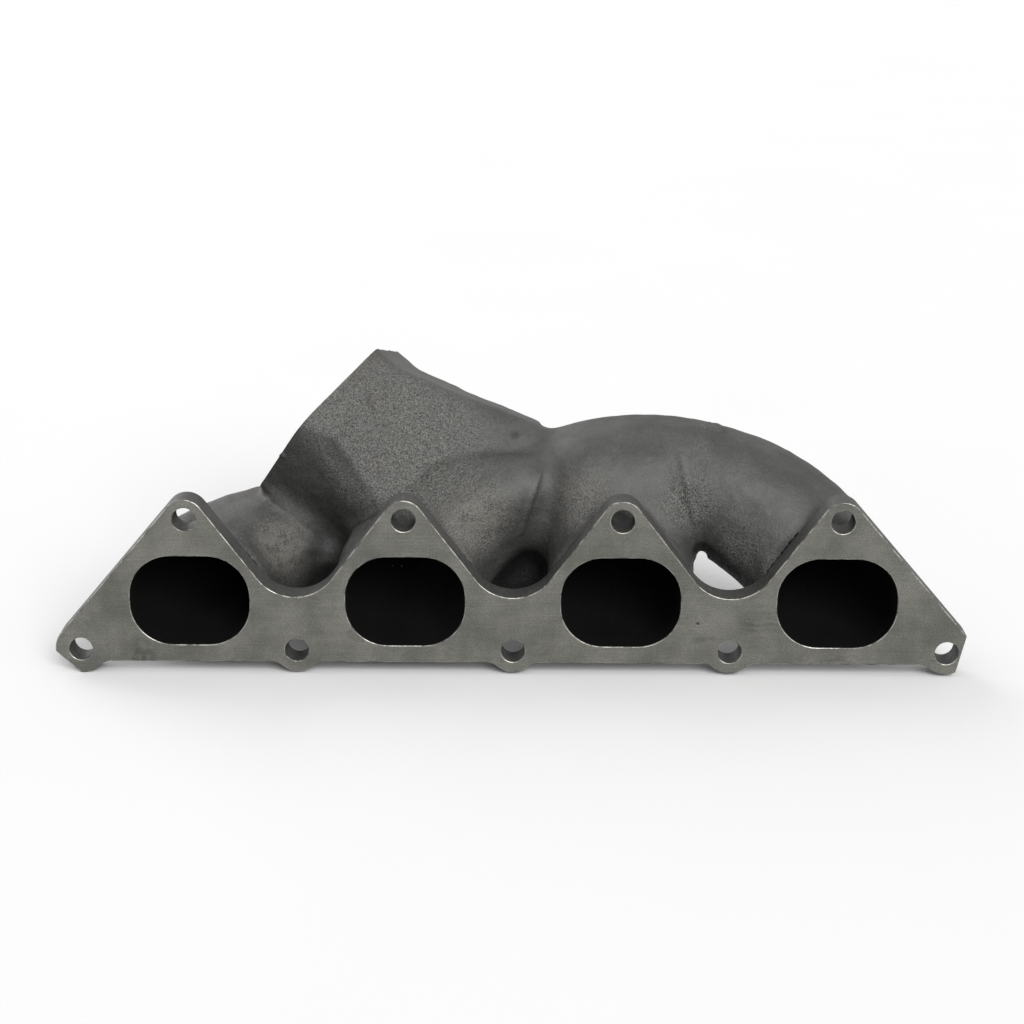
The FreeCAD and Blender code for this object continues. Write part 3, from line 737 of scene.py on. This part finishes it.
class Plate:
    """The head flange's points and faces, gathered loop by loop."""

    def __init__(self):
        self.points, self.faces, self.kinds, self.normals = [], [], [], []
        self.front, self.back = [], []

    def add_wall(self, outline, normals, profile):
        """The wall that goes round one loop, with the plate on the other side of its normals."""
        ahead = np.roll(outline, -1, 0) - outline
        if (ahead[:, 1] * normals[:, 0] - ahead[:, 0] * normals[:, 1])[0] < 0:
            outline, normals = outline[::-1], np.roll(normals[::-1], -1, 0)
        behind = np.roll(normals, 1, 0)
        joint = normals + behind
        joint /= np.linalg.norm(joint, axis=1, keepdims=True)
        miter = joint / (joint * normals).sum(1, keepdims=True)
        soft = (normals * behind).sum(1) > math.cos(math.radians(SMOOTH_ANGLE))
        size = (outline.max(0) - outline.min(0)).max()
        body = PORT_KIND if PORT_SIZES[0] < size < PORT_SIZES[1] else RIM_KIND
        first, count = len(self.points), len(outline)
        for inset, depth, _ in profile:
            self.points += [(x, depth, z) for x, z in outline - miter * inset]
        last = len(profile) - 1
        self.front.append(list(range(first, first + count)))
        self.back.append(list(range(first + last * count, first + (last + 1) * count)))
        for level in range(last):
            upper, lower = first + level * count, first + (level + 1) * count
            for here in range(count):
                there = (here + 1) % count
                self.faces.append((upper + here, lower + here, lower + there, upper + there))
                self.kinds.append(EDGE_KIND if level < 2 else body)
                ends = [joint[end] if soft[end] else normals[here] for end in (here, there)]
                for end, ring in ((0, level), (0, level + 1), (1, level + 1), (1, level)):
                    angle = profile[ring][2]
                    x, z = ends[end] * math.sin(angle)
                    self.normals.append((x, -math.cos(angle), z))

    def add_side(self, loops, way, kind):
        """The flat front or back between the loops, facing along Y by way."""
        flat = [index for loop in loops for index in loop]
        outlines = [
            [Vector((self.points[index][0], self.points[index][2], 0)) for index in loop]
            for loop in loops
        ]
        for triangle in tessellate_polygon(outlines):
            a, b, c = (flat[index] for index in triangle)
            pa, pb, pc = (np.array(self.points[index]) for index in (a, b, c))
            if np.cross(pb - pa, pc - pa)[1] * way < 0:
                b, c = c, b
            self.faces.append((a, b, c))
            self.kinds.append(kind)
            self.normals += [(0, way, 0)] * 3


def build_head_flange(materials):
    """The machined plate: the node's own outline, ports and holes, with rounded edges."""
    plate = Plate()
    for outline, normals in rim_loops(frame["nodes"]["head_flange"].data):
        plate.add_wall(outline, normals, edge_profile())
    plate.add_side(plate.front, -1, FACE_KIND)
    plate.add_side(plate.back, 1, RIM_KIND)
    mesh = bpy.data.meshes.new("head_flange_plate")
    mesh.from_pydata([Vector(point) * MM for point in plate.points], [], plate.faces)
    for material in materials:
        mesh.materials.append(material)
    mesh.polygons.foreach_set("material_index", plate.kinds)
    mesh.polygons.foreach_set("use_smooth", [True] * len(plate.faces))
    mesh.normals_split_custom_set(plate.normals)
    piece = bpy.data.objects.new("head_flange_plate", mesh)
    bpy.context.scene.collection.objects.link(piece)
    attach(piece, "root")
    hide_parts("head_flange")


# ---------------------------------------------------------------- materials

def set_range(node, *limits):
    """Set a Map Range node's limits: from, to, start and end."""
    for name, number in zip(("From Min", "From Max", "To Min", "To Max"), limits):
        node.inputs[name].default_value = number


class Look:
    """A material built from procedural nodes that are placed by the object's own position."""

    def __init__(self, name, metallic):
        self.material = bpy.data.materials.new(name)
        self.material.use_nodes = True
        self.tree = self.material.node_tree
        self.shader = self.tree.nodes["Principled BSDF"]
        self.shader.inputs["Metallic"].default_value = metallic
        self.place = self.tree.nodes.new("ShaderNodeTexCoord").outputs["Object"]

    def put(self, value, socket):
        """Link an output to a socket, or set the socket's value."""
        if isinstance(value, bpy.types.NodeSocket):
            self.tree.links.new(value, socket)
        else:
            socket.default_value = value

    def maths(self, operation, first, second=0.0):
        node = self.tree.nodes.new("ShaderNodeMath")
        node.operation = operation
        self.put(first, node.inputs[0])
        self.put(second, node.inputs[1])
        return node.outputs[0]

    def times(self, first, second):
        return self.maths("MULTIPLY", first, second)

    def less(self, share):
        """1 less a share."""
        return self.maths("SUBTRACT", 1.0, share)

    def noise(self, size, detail=2.0, roughness=0.5, stretch=(1.0, 1.0, 1.0)):
        """Noise from about 0 to 1, with blobs about size millimetres across before a stretch."""
        mapping = self.tree.nodes.new("ShaderNodeMapping")
        mapping.inputs["Scale"].default_value = [1 / (size * MM * factor) for factor in stretch]
        self.put(self.place, mapping.inputs["Vector"])
        node = self.tree.nodes.new("ShaderNodeTexNoise")
        node.inputs["Scale"].default_value = 1.0
        node.inputs["Detail"].default_value = detail
        node.inputs["Roughness"].default_value = roughness
        self.put(mapping.outputs[0], node.inputs["Vector"])
        return node.outputs["Fac"]

    def ramp(self, value, low, high, start=0.0, end=1.0):
        """A smooth step of a value between two limits, from start to end."""
        node = self.tree.nodes.new("ShaderNodeMapRange")
        node.interpolation_type = "SMOOTHSTEP"
        self.put(value, node.inputs["Value"])
        set_range(node, low, high, start, end)
        return node.outputs[0]

    def near(self, place, inner, outer):
        """1 within inner millimetres of a place, falling to 0 at outer."""
        node = self.tree.nodes.new("ShaderNodeVectorMath")
        node.operation = "DISTANCE"
        self.put(self.place, node.inputs[0])
        node.inputs[1].default_value = [number * MM for number in place]
        return self.ramp(node.outputs["Value"], inner * MM, outer * MM, 1.0, 0.0)

    def patch(self, place, inner, outer, strength):
        """A patch of a look: its strength near a place, fading to 0."""
        return self.times(self.near(place, inner, outer), strength)

    def along(self, direction, origin):
        """How far the surface lies along a direction from an origin, in millimetres."""
        node = self.tree.nodes.new("ShaderNodeVectorMath")
        node.operation = "DOT_PRODUCT"
        self.put(self.place, node.inputs[0])
        node.inputs[1].default_value = [float(number) / MM for number in direction]
        return self.maths("SUBTRACT", node.outputs["Value"], float(np.dot(origin, direction)))

    def mix(self, amount, first, second):
        """The first colour, or the second where the amount is 1."""
        node = self.tree.nodes.new("ShaderNodeMix")
        node.data_type = "RGBA"
        self.put(amount, node.inputs["Factor"])
        self.put((*first, 1) if isinstance(first, tuple) else first, node.inputs["A"])
        self.put((*second, 1) if isinstance(second, tuple) else second, node.inputs["B"])
        return node.outputs["Result"]

    def scaled(self, colour, factor):
        """A colour times a number."""
        node = self.tree.nodes.new("ShaderNodeVectorMath")
        node.operation = "SCALE"
        self.put(colour, node.inputs[0])
        self.put(factor, node.inputs["Scale"])
        return node.outputs[0]

    def shade(self, distance):
        """How open the surface is within that many millimetres: 0 in a deep recess, 1 outside."""
        node = self.tree.nodes.new("ShaderNodeAmbientOcclusion")
        node.samples = 6
        node.inputs["Distance"].default_value = distance * MM
        return node.outputs["AO"]

    def finish(self, colour, roughness, height, depth):
        """Join up the colour, the roughness and a relief of that depth in millimetres."""
        self.put(colour, self.shader.inputs["Base Color"])
        self.put(roughness, self.shader.inputs["Roughness"])
        bump = self.tree.nodes.new("ShaderNodeBump")
        bump.inputs["Strength"].default_value = 1.0
        bump.inputs["Distance"].default_value = depth * MM
        self.put(height, bump.inputs["Height"])
        self.put(bump.outputs[0], self.shader.inputs["Normal"])
        return self.material


def sandiness(look, most):
    """How sandy the skin is, up to most: in broad patches, and more in the sandy places."""
    sandy = look.ramp(look.noise(45.0, 6.0, 0.7), 0.46, 0.72, 0.0, 0.6)
    for place in SANDY_PLACES:
        sandy = look.maths("MAXIMUM", sandy, look.patch(*place))
    return look.times(sandy, most)


def dusted(look, colour):
    """A colour with pale dust in drifts at the dusty places."""
    drift = look.ramp(look.noise(6.0, 4.0, 0.65), 0.36, 0.62)
    for place in DUSTY_PLACES:
        colour = look.mix(look.times(look.patch(*place), drift), colour, (0.115, 0.105, 0.090))
    return colour


def rusted(look, colour):
    """A colour with a little rust beside the outlet's milled face."""
    edge = look.ramp(look.along(OUTLET_OUT, OUTLET_CENTRE), -6.0, -0.5)
    edge = look.times(edge, look.near(OUTLET_CENTRE, 52, 60))
    edge = look.times(edge, look.ramp(look.noise(5.0, 3.0), 0.40, 0.60, 0.15, 0.8))
    return look.mix(edge, colour, (0.040, 0.024, 0.016))


def painted_shade_factor(look):
    """Painted shade, as a factor on the colour: less in recesses, on the lower left facet where it
    faces away from the light, and at the painted shade places.
    """
    # Painted shade in recesses: the colour is darkened by ambient occlusion within 30 mm.
    left = look.ramp(look.shade(30.0), 0.05, 0.50, 0.30, 1.0)
    # Painted shade on the lower left facet, by the way the surface faces.
    facing = look.tree.nodes.new("ShaderNodeVectorMath")
    facing.operation = "DOT_PRODUCT"
    facing.inputs[1].default_value = FACET_FACING
    look.put(look.tree.nodes.new("ShaderNodeTexCoord").outputs["Normal"], facing.inputs[0])
    turned = facing.outputs["Value"]
    facet = look.times(look.ramp(turned, 0.15, 0.35), look.ramp(turned, 0.3, 0.84, 0.70, 0.45))
    facet = look.times(facet, look.near(FACET_PLACE, *FACET_RADII))
    for direction, start, end in FACET_SIDES:
        facet = look.times(facet, look.ramp(look.along(direction, (0, 0, 0)), start, end))
    left = look.times(left, look.less(facet))
    # Painted shade at the listed places.
    for place in PAINTED_SHADE_PLACES:
        left = look.times(left, look.less(look.patch(*place)))
    return left


def cast_material(name, most_sand):
    """Sand-cast iron: mottled grey, with a sandy grain, fine pits, and painted shade in its
    recesses.
    """
    look = Look(name, 0.3)
    mottle = look.ramp(look.noise(20.0, 5.0, 0.62), 0.30, 0.70)
    colour = look.mix(mottle, (0.027, 0.027, 0.0255), (0.044, 0.0435, 0.0405))
    sandy = sandiness(look, most_sand)
    colour = look.mix(sandy, colour, (0.059, 0.0585, 0.0545))
    grain = look.noise(0.85, 3.0, 0.75)
    coarse = look.ramp(grain, 0.32, 0.70, -0.45, 0.45)
    fine = look.ramp(look.noise(0.5, 1.0, 0.5), 0.3, 0.7, -0.3, 0.3)
    specks = look.ramp(look.noise(0.6, 1.0, 0.5), 0.64, 0.74, 0.0, 0.7)
    speckle = look.maths("ADD", look.maths("ADD", coarse, fine), look.times(specks, sandy))
    strength = look.maths("ADD", sandy, 0.5)
    colour = look.scaled(colour, look.maths("ADD", 1.0, look.times(speckle, strength)))
    pits = look.ramp(look.noise(3.2, 2.0, 0.6), 0.30, 0.22)
    colour = look.mix(look.times(pits, 0.75), colour, (0.012, 0.012, 0.011))
    stain = look.ramp(look.noise(14.0, 3.0, 0.65), 0.60, 0.74, 0.0, 0.45)
    colour = look.mix(stain, colour, (0.029, 0.024, 0.020))
    # Painted shade: the colour is darkened in recesses, on the lower left facet and at the painted
    # shade places.
    colour = look.scaled(rusted(look, dusted(look, colour)), painted_shade_factor(look))
    roughness = look.ramp(grain, 0.3, 0.7, 0.50, 0.70)
    relief = look.maths("ADD", look.times(grain, strength), look.noise(4.5, 2.0))
    return look.finish(colour, roughness, relief, 0.45)


def gas_way_shade_material():
    """Painted shade for the gas ways and ports: a near-black, dull, dry colour for the deep dark
    inside them.
    """
    look = Look("gas_way_soot", 0.0)
    colour = look.mix(look.noise(2.0, 3.0), (0.0012, 0.0012, 0.0012), (0.0035, 0.0033, 0.0032))
    look.shader.inputs["Specular IOR Level"].default_value = 0.06
    return look.finish(colour, 0.95, look.noise(1.2, 3.0), 0.3)


def machined_material():
    """A milled face: fine cutter marks along it, dull patches, dark smudges and one pit."""
    look = Look("machined_face", 0.4)
    patches = look.ramp(look.noise(26.0, 5.0, 0.62), 0.33, 0.67)
    colour = look.mix(patches, (0.056, 0.0555, 0.048), (0.096, 0.095, 0.083))
    streaks = look.noise(0.5, 2.0, 0.5, (60.0, 1.0, 1.0))
    colour = look.scaled(colour, look.ramp(streaks, 0.3, 0.7, 0.92, 1.08))
    grain = look.noise(0.7, 3.0, 0.7)
    colour = look.scaled(colour, look.ramp(grain, 0.3, 0.7, 0.74, 1.26))
    dirt = look.ramp(look.noise(10.0, 5.0, 0.7, (2.5, 1.0, 1.0)), 0.57, 0.74, 0.0, 0.5)
    blotches = look.ramp(look.noise(4.0, 4.0), 0.36, 0.6, 0.0, 0.7)
    smudge = look.times(look.near(SMUDGE_PLACE, 1, 13), blotches)
    scrapes = look.ramp(look.noise(2.4, 4.0, 0.6, (5.0, 1.0, 1.0)), 0.48, 0.62, 0.0, 0.5)
    scrape = look.times(look.near(SCRAPE_PLACE, 1, 13), scrapes)
    pit = look.near(PIT_PLACE, 0.4, 0.9)
    marks = look.maths("MAXIMUM", dirt, look.maths("MAXIMUM", smudge, scrape))
    colour = look.mix(look.maths("MAXIMUM", marks, pit), colour, (0.020, 0.020, 0.018))
    roughness = look.ramp(patches, 0.0, 1.0, 0.55, 0.45)
    relief = look.maths("ADD", look.times(streaks, 0.5), grain)
    relief = look.maths("SUBTRACT", relief, look.times(pit, 6.0))
    return look.finish(colour, roughness, relief, 0.045)


def cut_edge_and_highlight_material():
    """Freshly cut metal along the machined face's edges, bright partly of itself and partly as a
    painted highlight.
    """
    look = Look("cut_edge", 0.85)
    worn = look.ramp(look.noise(7.0, 4.0, 0.7), 0.38, 0.60)
    # Painted highlight: the bright colour also stands in for the light the edges catch.
    colour = look.mix(worn, (0.07, 0.068, 0.062), (0.26, 0.25, 0.23))
    return look.finish(colour, 0.42, look.noise(0.8, 2.0), 0.08)


def floor_material():
    """A plain pale studio floor."""
    look = Look("pale_floor", 0.0)
    colour = look.mix(look.noise(180.0, 2.0), (0.468, 0.468, 0.468), (0.480, 0.480, 0.480))
    return look.finish(colour, 0.95, look.noise(3.0, 2.0), 0.02)


GAS_WAY_SHADE = gas_way_shade_material()
FACE = machined_material()

# The gas ways and the flange's ports get the near-black painted shade.
build_casting((cast_material("cast_iron_skin", 1.0), GAS_WAY_SHADE, FACE))
build_head_flange((FACE, GAS_WAY_SHADE, cast_material("flange_rim_skin", 0.7), cut_edge_and_highlight_material()))


# ---------------------------------------------------------------- stage, light and camera

def build_lamp(name, direction, strength, spread):
    """A broad soft light from a direction."""
    light = bpy.data.lights.new(name, "SUN")
    light.energy = strength
    light.angle = math.radians(spread)
    lamp = bpy.data.objects.new(name, light)
    lamp.rotation_euler = Vector(direction).to_track_quat("Z", "Y").to_euler()
    bpy.context.scene.collection.objects.link(lamp)


def build_floor():
    level = CAD_BOX[0][2]
    half = FLOOR_HALF
    mesh = bpy.data.meshes.new("floor")
    corners = ((-half, -half), (half, -half), (half, half), (-half, half))
    mesh.from_pydata([(x, y, level) for x, y in corners], [], [(0, 1, 2, 3)])
    mesh.materials.append(floor_material())
    floor = bpy.data.objects.new("floor", mesh)
    bpy.context.scene.collection.objects.link(floor)


def build_sky():
    """A white sky, brightest on the side of the key light and all round near the horizon."""
    world = bpy.data.worlds.new("studio")
    world.use_nodes = True
    nodes, links = world.node_tree.nodes, world.node_tree.links
    background = nodes["Background"]
    background.inputs["Color"].default_value = (1, 1, 1, 1)
    direction = nodes.new("ShaderNodeTexCoord").outputs["Generated"]
    facing = nodes.new("ShaderNodeVectorMath")
    facing.operation = "DOT_PRODUCT"
    facing.inputs[1].default_value = SKY_FROM
    links.new(direction, facing.inputs[0])
    height = nodes.new("ShaderNodeSeparateXYZ")
    links.new(direction, height.inputs[0])
    blend = nodes.new("ShaderNodeMix")
    blend.inputs["B"].default_value = HORIZON_STRENGTH
    for source, limits, target in (
        (facing.outputs["Value"], (-0.9, 0.9, *SKY_STRENGTH), "A"),
        (height.outputs["Z"], (*HORIZON_HEIGHT, 1.0, 0.0), "Factor"),
    ):
        step = nodes.new("ShaderNodeMapRange")
        step.interpolation_type = "SMOOTHSTEP"
        set_range(step, *limits)
        links.new(source, step.inputs["Value"])
        links.new(step.outputs[0], blend.inputs[target])
    links.new(blend.outputs["Result"], background.inputs["Strength"])
    bpy.context.scene.world = world


def build_camera():
    """A long lens a little above the casting, looking down at it from the cylinder head's side."""
    camera = bpy.data.cameras.new("camera")
    camera.lens = CAMERA_LENS
    camera.sensor_width = 36.0
    camera.clip_end = 50
    holder = bpy.data.objects.new("camera", camera)
    turn, drop, tilt = (math.radians(angle) for angle in CAMERA_ANGLES)
    holder.rotation_euler = (
        Matrix.Rotation(turn, 3, "Z") @ Matrix.Rotation(math.pi / 2 - drop, 3, "X")
        @ Matrix.Rotation(tilt, 3, "Z")
    ).to_euler()
    holder.location = Vector(CAMERA_PLACE) * MM
    bpy.context.scene.collection.objects.link(holder)
    bpy.context.scene.camera = holder


build_floor()
build_sky()
build_camera()
bpy.context.scene.view_settings.view_transform = "Standard"
for lamp in LAMPS:
    build_lamp(*lamp)

bpy.context.view_layer.update()
